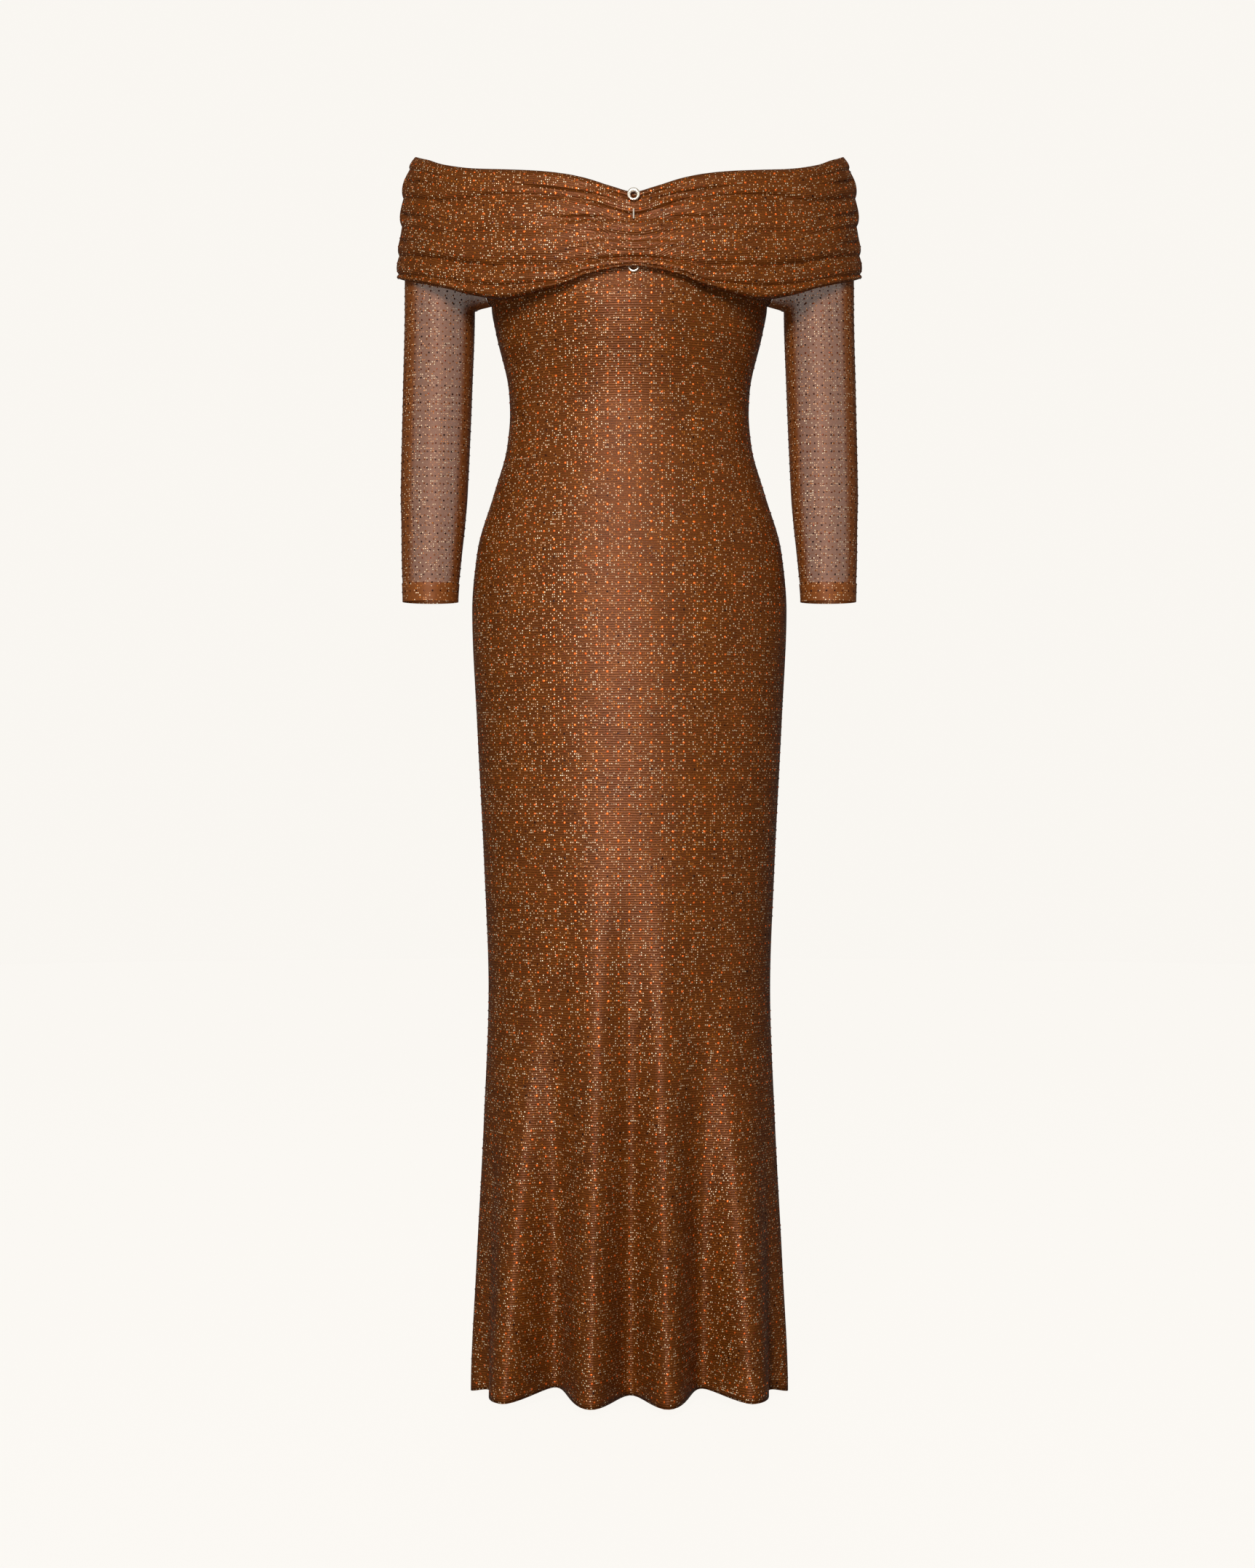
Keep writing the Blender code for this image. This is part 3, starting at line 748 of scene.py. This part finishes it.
def sheer_knit(dress):
    """Fine nylon mesh, dyed rust: the ground shows through it, more so where it faces the eye."""
    material, tree, shader = new_finish("sheer_nylon_mesh")
    cloth = add_node(tree, "Attribute", attribute_name="cloth").outputs["Vector"]
    layers = add_node(tree, "Attribute", attribute_name="layers").outputs["Fac"]
    flake, flake_painted_glint_colour, tipped = glitter_flakes(tree, cloth, dress)
    facing = add_node(tree, "LayerWeight", {"Blend": 0.5})
    mottle = add_node(
        tree, "TexNoise", {"Vector": cloth, "Scale": 260.0, "Detail": 4.0, "Roughness": 0.7}
    )
    colour = add_node(
        tree,
        "Mix",
        {"Factor": mottle.outputs["Fac"], 6: (*dress.sheer_dark, 1), 7: (*dress.sheer_light, 1)},
        data_type="RGBA",
    )
    # The flakes are painted glints in the base colour, as on the knit.
    glittered = add_node(
        tree, "Mix", {"Factor": flake, 6: colour.outputs[2], 7: flake_painted_glint_colour}, data_type="RGBA"
    )
    # Mesh seen along its face closes up, because each hole is as deep as it is wide.
    thin = add_node(
        tree,
        "MapRange",
        {
            "Value": facing.outputs["Facing"],
            "From Min": 0.16,
            "From Max": 0.46,
            "To Min": dress.sheer_cover,
            "To Max": 0.98,
        },
        interpolation_type="SMOOTHSTEP",
    )
    # The turned cuff hem is a second layer, which shuts part of what the first leaves open.
    doubled = add_node(
        tree,
        "Math",
        {0: layers, 1: 0.40, 2: thin.outputs[0]},
        operation="MULTIPLY_ADD",
        use_clamp=True,
    )
    filled = add_node(tree, "Math", {0: doubled.outputs[0], 1: flake}, operation="MAXIMUM")
    bump = add_node(tree, "Bump", {"Strength": 0.25, "Distance": 0.0002, "Height": mottle.outputs["Fac"]})
    metal = add_node(tree, "MapRange", {"Value": flake, "To Min": 0.12, "To Max": 0.20})
    tree.links.new(glittered.outputs[2], shader.inputs["Base Color"])
    tree.links.new(metal.outputs[0], shader.inputs["Metallic"])
    tree.links.new(filled.outputs[0], shader.inputs["Alpha"])
    tree.links.new(leaning_normal(tree, tipped, bump.outputs[0]), shader.inputs["Normal"])
    shader.inputs["Roughness"].default_value = 0.5
    shader.inputs["IOR"].default_value = 1.5
    shader.inputs["Specular IOR Level"].default_value = 0.2
    return material


def foil_dots(dress):
    """Hot-fixed metallised foil: small orange mirrors, painted bright as a painted glint on a few and dim
    as painted shade on most, with a painted cream highlight at the crown of the brightest.
    """
    material, tree, shader = new_finish("hot_fixed_foil_dots")
    glow = add_node(tree, "Attribute", attribute_name="glow").outputs["Fac"]
    painted_highlight_core = add_node(tree, "Attribute", attribute_name="painted_highlight_core").outputs["Fac"]
    # The glow value sets how much of the painted glint colour a dot gets over its painted shade colour.
    lit = add_node(tree, "MapRange", {"Value": glow, "From Min": 0.05, "From Max": 0.60})
    colour = add_node(
        tree,
        "Mix",
        {"Factor": lit.outputs[0], 6: (*dress.dot_painted_shade, 1), 7: (*dress.dot_painted_glint, 1)},
        data_type="RGBA",
    )
    # A painted highlight in cream at each dot's crown, only on the dots with most painted glint.
    middle = add_node(tree, "MapRange", {"Value": painted_highlight_core, "From Min": 0.72, "From Max": 1.0})
    painted_highlight = add_node(tree, "Math", {0: middle.outputs[0], 1: lit.outputs[0]}, operation="MULTIPLY")
    painted_glint = add_node(
        tree,
        "Mix",
        {"Factor": painted_highlight.outputs[0], 6: colour.outputs[2], 7: (*dress.painted_glint_cream, 1)},
        data_type="RGBA",
    )
    tree.links.new(painted_glint.outputs[2], shader.inputs["Base Color"])
    shader.inputs["Metallic"].default_value = 0.65
    shader.inputs["Roughness"].default_value = 0.42
    return material


def pale_gold(dress):
    """Zinc casting, polished and gold-plated: a pale mirror with the finest of scratches."""
    material, tree, shader = new_finish("polished_gold_plate")
    scratches = add_node(tree, "TexNoise", {"Scale": 1800.0, "Detail": 3.0})
    rough = add_node(
        tree, "MapRange", {"Value": scratches.outputs["Fac"], "To Min": 0.24, "To Max": 0.34}
    )
    tree.links.new(rough.outputs[0], shader.inputs["Roughness"])
    shader.inputs["Base Color"].default_value = (*dress.gold, 1)
    shader.inputs["Metallic"].default_value = 0.7
    return material


def plain_paper(name, colour, glow):
    """Matt studio paper, lit from behind so that it looks as even as a lightbox."""
    material, tree, shader = new_finish(name)
    shader.inputs["Base Color"].default_value = (*[part * (1 - glow) for part in colour], 1)
    shader.inputs["Roughness"].default_value = 0.9
    shader.inputs["Emission Color"].default_value = (*colour, 1)
    shader.inputs["Emission Strength"].default_value = glow
    return material


class DressSettings(bpy.types.PropertyGroup):
    """Sizes and colours of the cloth and trim."""

    course_spacing: FloatProperty(
        name="Course spacing",
        description="Distance between the knit's rows of metallic yarn",
        default=0.0025,
        min=0.001,
        max=0.01,
        unit="LENGTH",
    )
    flake_spacing: FloatProperty(
        name="Glitter spacing",
        description="Mean distance between loose glitter flakes",
        default=0.0022,
        min=0.001,
        max=0.01,
        unit="LENGTH",
    )
    flake_radius: FloatProperty(
        name="Glitter radius",
        description="Radius that a glitter flake is drawn with",
        default=0.0006,
        min=0.0001,
        max=0.002,
        unit="LENGTH",
    )
    # Share of the flakes that get a painted glint; the others are not drawn.
    flake_painted_glint_share: FloatProperty(
        name="Glitter share",
        description="Share of the flakes that are turned to catch the light",
        default=0.32,
        min=0.0,
        max=1.0,
        subtype="FACTOR",
    )
    dot_across: FloatProperty(
        name="Dots across",
        description="Distance between neighbouring foil dots in a row",
        default=0.0115,
        min=0.004,
        max=0.04,
        unit="LENGTH",
    )
    dot_down: FloatProperty(
        name="Dots down",
        description="Distance between rows of foil dots",
        default=0.0093,
        min=0.004,
        max=0.04,
        unit="LENGTH",
    )
    dot_radius: FloatProperty(
        name="Dot radius",
        description="Radius of a foil dot",
        default=0.0012,
        min=0.0005,
        max=0.004,
        unit="LENGTH",
    )
    sheer_cover: FloatProperty(
        name="Sheer cover",
        description="Share of the view that one layer of the sheer knit covers where it faces the eye",
        default=0.70,
        min=0.1,
        max=1.0,
        subtype="FACTOR",
    )
    ground_dark: FloatVectorProperty(
        name="Ground, dark",
        description="Knit ground in its darker areas",
        subtype="COLOR",
        default=linear("522708"),
    )
    ground_light: FloatVectorProperty(
        name="Ground, light",
        description="Knit ground in its lighter areas",
        subtype="COLOR",
        default=linear("824611"),
    )
    # Colour of the warmer painted glints on the flakes.
    flake_painted_glint_orange: FloatVectorProperty(
        name="Glitter, orange",
        description="Colour of the warmer flakes",
        subtype="COLOR",
        default=linear("E8862A"),
    )
    # Colour of the lighter painted glints on the flakes, and of the painted highlight at the dots' crowns.
    painted_glint_cream: FloatVectorProperty(
        name="Glitter, cream",
        description="Colour of the lighter flakes",
        subtype="COLOR",
        default=linear("FFEBC4"),
    )
    # Painted shade: the colour of dots taken to face away from the light.
    dot_painted_shade: FloatVectorProperty(
        name="Dot, dim",
        description="Foil dots turned away from the light",
        subtype="COLOR",
        default=linear("2E1004"),
    )
    # Painted glint: the colour of dots taken to catch the light.
    dot_painted_glint: FloatVectorProperty(
        name="Dot, bright",
        description="Foil dots at their brightest",
        subtype="COLOR",
        default=linear("FF6A0C"),
    )
    sheer_dark: FloatVectorProperty(
        name="Sheer, dark",
        description="Sheer knit in its darker areas",
        subtype="COLOR",
        default=linear("5A2E10"),
    )
    sheer_light: FloatVectorProperty(
        name="Sheer, light",
        description="Sheer knit in its lighter areas",
        subtype="COLOR",
        default=linear("8E4E1E"),
    )
    gold: FloatVectorProperty(
        name="Gold", description="Plating of the rings and bar", subtype="COLOR", default=linear("F8ECD8")
    )
    seed: IntProperty(name="Seed", description="Start of the chance values", default=7, min=0)


class StageSettings(bpy.types.PropertyGroup):
    """Camera, lights and backdrop."""

    camera_distance: FloatProperty(
        name="Camera distance",
        description="From the lens to the side seams",
        default=3.0,
        min=1.0,
        unit="LENGTH",
    )
    lens: FloatProperty(name="Lens", description="Focal length", default=63.64, min=10.0, unit="CAMERA")
    key_power: FloatProperty(
        name="Key light",
        description="Power of the front softbox",
        default=108.0,
        unit="POWER",
    )
    low_power: FloatProperty(
        name="Low light",
        description="Power of the low front softbox",
        default=58.0,
        unit="POWER",
    )
    side_power: FloatProperty(
        name="Side lights",
        description="Power of each side softbox",
        default=6.0,
        unit="POWER",
    )
    sky: FloatProperty(
        name="Room light",
        description="Strength of the even room light",
        default=0.10,
        min=0.0,
    )
    backdrop: FloatVectorProperty(
        name="Backdrop", description="Colour of paper and floor", subtype="COLOR", default=linear("F9F6F1")
    )


def panel_grid(side, columns, below, above):
    """The whole grid of a body panel, from the hem up to the neckline."""
    share = np.linspace(-1, 1, columns + 1)[None]
    turn = wrapped(side + share * (np.pi / 2 - seam_turn(SEAM_GAP)))
    low = body_point(turn, np.linspace(HEM, UNDERARM, below)[:-1, None])
    high = panel_point(side, share, np.linspace(0, 1, above)[:, None] ** ROW_CROWDING)
    return np.concatenate([low, high])


def sleeve_grid(columns):
    """The wearer's left sleeve from cuff to neckline, cut open along its inner line."""
    share = np.linspace(0, 1, columns + 1)[None]
    hem = sleeve_ring(share, np.linspace(CUFF, CUFF + CUFF_HEM, CUFF_ROWS)[:, None], CUFF_STEP)
    tube_start, tube_end = CUFF + CUFF_HEM + CUFF_STEP, UNDERARM - TUBE_STOP
    tube = sleeve_ring(share, np.linspace(tube_start, tube_end, TUBE_ROWS)[:, None])
    top = sleeve_point(share, np.linspace(0, 1, TOP_ROWS)[:, None] ** ROW_CROWDING)
    return np.concatenate([hem, tube, top]), len(hem)


def band_grid(side, columns, steps):
    """The front or back of the band, from its lower edge up to the fold over the neckline."""
    reach = np.pi / 2 - seam_turn(BAND_SEAM_GAP, RING_ROUNDING)
    turn = (side + np.linspace(-1, 1, columns + 1) * reach)[None]
    names = list(CREASES)
    rows = []
    for crease, after in zip(names, names[1:]):
        count = steps // 3 if crease in ("fold_over", "under_roll") else steps
        rows.append(band_point(turn, crease, after, np.linspace(0, 1, count, endpoint=False)[:, None]))
    rows.append(band_point(turn, names[-2], names[-1], np.ones((1, 1))))
    return np.concatenate(rows)[::-1]


class DRESS_OT_body(bpy.types.Operator):
    """Front and back panels with their foil dots"""

    bl_idname = "dress.body"
    bl_label = "Body panels"

    def execute(self, context):
        dress = context.scene.dress
        knit, foil = glitter_knit(dress), foil_dots(dress)
        for name, side in (("front", 0.0), ("back", math.pi)):
            grid = panel_grid(side, columns=112, below=168, above=12)
            piece = cloth_piece(f"{name}_panel", grid, True, knit, wall=WALL)
            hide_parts(name)
            places, normals = dot_places(grid, True, dress.dot_across, dress.dot_down, HEM, BODY_DOTS_TOP)
            dots = dot_piece(
                f"{name}_dots", places, normals, dress.dot_radius, dress.seed, foil
            )
        return {"FINISHED"}


class DRESS_OT_sleeves(bpy.types.Operator):
    """Both sheer sleeves with their cuff hems and dots"""

    bl_idname = "dress.sleeves"
    bl_label = "Sleeves"

    def execute(self, context):
        dress = context.scene.dress
        mesh, foil = sheer_knit(dress), foil_dots(dress)
        left, hem_rows = sleeve_grid(columns=56)
        for name, mirror in (("sleeve_left", 1), ("sleeve_right", -1)):
            grid = left if mirror > 0 else left[:, ::-1] * [-1, 1, 1]
            layers = np.zeros(grid.shape[:2])
            layers[:hem_rows] = 1.0
            piece = cloth_piece(f"{name}_sheer", grid, True, mesh, layers=layers)
            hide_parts(name)
            places, normals = dot_places(
                grid, True, SLEEVE_DOT_PITCH, SLEEVE_DOT_PITCH, CUFF + DOT_MARGIN, SLEEVE_DOTS_TOP
            )
            dots = dot_piece(
                f"{name}_dots",
                places,
                normals,
                SLEEVE_DOT_RADIUS,
                dress.seed + 3,
                foil,
                SLEEVE_DOT_PAINTED_GLINT,
            )
        return {"FINISHED"}


class DRESS_OT_band(bpy.types.Operator):
    """Draped band round bust and arms, with its creases and fine pleats"""

    bl_idname = "dress.band"
    bl_label = "Draped band"

    def execute(self, context):
        dress = context.scene.dress
        knit, foil = glitter_knit(dress), foil_dots(dress)
        for name, side, columns, steps in (("band_front", 0.0, 210, 24), ("band_back", math.pi, 130, 16)):
            grid = band_grid(side, columns, steps)
            piece = cloth_piece(f"{name}_drape", grid, False, knit, wall=BAND_WALL)
            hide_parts(name)
            places, normals = dot_places(grid, False, dress.dot_across, dress.dot_down)
            dots = dot_piece(
                f"{name}_dots", places, normals, dress.dot_radius, dress.seed + 5, foil
            )
        return {"FINISHED"}


def gold_ring(name, centre, radius, wire_at, material):
    """An upright ring of wire; wire_at gives its half thickness by the angle from the top."""
    rings, sides = 48, 16
    around = np.linspace(0, 2 * np.pi, rings, endpoint=False)[:, None]
    tube = np.linspace(0, 2 * np.pi, sides, endpoint=False)[None]
    wire = wire_at(around)
    reach = radius + wire * np.cos(tube)
    vertices = points(
        centre[0] + reach * np.sin(around),
        centre[1] - wire * np.sin(tube),
        centre[2] + reach * np.cos(around),
    )
    a, b = np.meshgrid(np.arange(rings), np.arange(sides), indexing="ij")
    c, d = (a + 1) % rings, (b + 1) % sides
    faces = np.stack([a * sides + b, c * sides + b, c * sides + d, a * sides + d], -1).reshape(-1, 4)
    return mesh_object(name, vertices.reshape(-1, 3), faces, material)


class DRESS_OT_trim(bpy.types.Operator):
    """Rings and bar of the gather"""

    bl_idname = "dress.trim"
    bl_label = "Gold trim"

    def execute(self, context):
        gold = pale_gold(context.scene.dress)
        for name in ("gather_ring_top", "gather_ring_bottom"):
            low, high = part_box(name)
            centre, reach = (low + high) / 2, (high.z - low.z) / 2
            wire = (high.y - low.y) / 2
            swell = 0.45 if name == "gather_ring_top" else 0.0
            ring = gold_ring(
                f"{name}_cast",
                centre,
                reach - wire,
                lambda around, wire=wire, swell=swell: wire * (1 - swell * (1 - np.cos(around)) / 2),
                gold,
            )
            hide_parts(name)
        bar = frame["nodes"]["gather_pin"]
        bar.data.materials.clear()
        bar.data.materials.append(gold)
        return {"FINISHED"}


def softbox(name, place, target, size, power):
    """A large soft light that points at a target."""
    data = bpy.data.lights.new(name, "AREA")
    data.shape = "RECTANGLE"
    data.size, data.size_y = size
    data.energy = power
    lamp = bpy.data.objects.new(name, data)
    bpy.context.scene.collection.objects.link(lamp)
    lamp.location = place
    lamp.rotation_euler = (Vector(target) - Vector(place)).to_track_quat("-Z", "Y").to_euler()


class DRESS_OT_stage(bpy.types.Operator):
    """Camera, softboxes, pale floor and backdrop"""

    bl_idname = "dress.stage"
    bl_label = "Stage"

    def execute(self, context):
        scene, stage = context.scene, context.scene.dress_stage
        data = bpy.data.cameras.new("camera")
        data.lens = stage.lens
        data.sensor_width = 36.0
        camera = bpy.data.objects.new("camera", data)
        scene.collection.objects.link(camera)
        camera.location = (-0.002, -stage.camera_distance, -0.6123)
        camera.rotation_euler = (math.pi / 2, 0, 0)
        scene.camera = camera
        scene.view_settings.view_transform = "Standard"

        softbox("key_softbox", (-0.30, -3.0, 1.15), STAGE_MIDDLE, (0.9, 0.9), stage.key_power)
        softbox("low_softbox", (-0.5, -3.1, -1.2), (0, 0, -1.0), (0.6, 1.0), stage.low_power)
        softbox("left_softbox", (-2.6, -1.0, 0.2), STAGE_MIDDLE, (0.9, 2.2), stage.side_power)
        softbox("right_softbox", (2.6, -1.0, 0.2), STAGE_MIDDLE, (0.9, 2.2), stage.side_power)
        softbox("back_softbox", (0.0, 3.0, 0.6), STAGE_MIDDLE, (1.6, 2.2), stage.side_power)

        world = scene.world or bpy.data.worlds.new("room")
        scene.world = world
        world.use_nodes = True
        room = world.node_tree.nodes["Background"]
        room.inputs["Color"].default_value = (1.0, 0.98, 0.95, 1)
        room.inputs["Strength"].default_value = stage.sky

        paper = plain_paper("studio_paper", tuple(stage.backdrop), 1.0)
        bpy.ops.mesh.primitive_uv_sphere_add(
            segments=64, ring_count=32, radius=DOME_RADIUS, location=STAGE_MIDDLE
        )
        dome = context.active_object
        dome.name = "backdrop"
        dome.data.materials.append(paper)
        dome.visible_diffuse = False
        dome.visible_glossy = False
        dome.visible_shadow = False
        bpy.ops.mesh.primitive_circle_add(
            vertices=96, radius=FLOOR_RADIUS, fill_type="NGON", location=(0, 0, HEM - FLOOR_DROP)
        )
        floor = context.active_object
        floor.name = "floor"
        floor.visible_diffuse = False
        floor.visible_glossy = False
        floor.data.materials.append(plain_paper("floor_paper", tuple(stage.backdrop), 1.0))
        return {"FINISHED"}


class DRESS_PT_panel(bpy.types.Panel):
    """Lists the pieces of the dress"""

    bl_idname = "DRESS_PT_panel"
    bl_label = "Off-shoulder dress"
    bl_space_type = "VIEW_3D"
    bl_region_type = "UI"
    bl_category = "Dress"

    def draw(self, context):
        for operator in OPERATORS:
            self.layout.operator(operator.bl_idname)
        for settings in (context.scene.dress, context.scene.dress_stage):
            for name in settings.bl_rna.properties.keys():
                if name not in ("rna_type", "name"):
                    self.layout.prop(settings, name)


OPERATORS = (DRESS_OT_stage, DRESS_OT_body, DRESS_OT_sleeves, DRESS_OT_band, DRESS_OT_trim)
CLASSES = (DressSettings, StageSettings, *OPERATORS, DRESS_PT_panel)


def register():
    """Registers the classes and puts the settings on the scene."""
    for kind in CLASSES:
        bpy.utils.register_class(kind)
    bpy.types.Scene.dress = PointerProperty(type=DressSettings)
    bpy.types.Scene.dress_stage = PointerProperty(type=StageSettings)


def unregister():
    """Takes the settings and classes away again."""
    del bpy.types.Scene.dress_stage
    del bpy.types.Scene.dress
    for kind in reversed(CLASSES):
        bpy.utils.unregister_class(kind)


def main():
    """Builds everything in order."""
    register()
    for old in list(bpy.data.objects):
        if old.name in ("Cube", "Light", "Camera"):
            bpy.data.objects.remove(old)
    bpy.ops.dress.stage()
    bpy.ops.dress.body()
    bpy.ops.dress.sleeves()
    bpy.ops.dress.band()
    bpy.ops.dress.trim()
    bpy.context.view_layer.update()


if __name__ == "__main__":
    main()
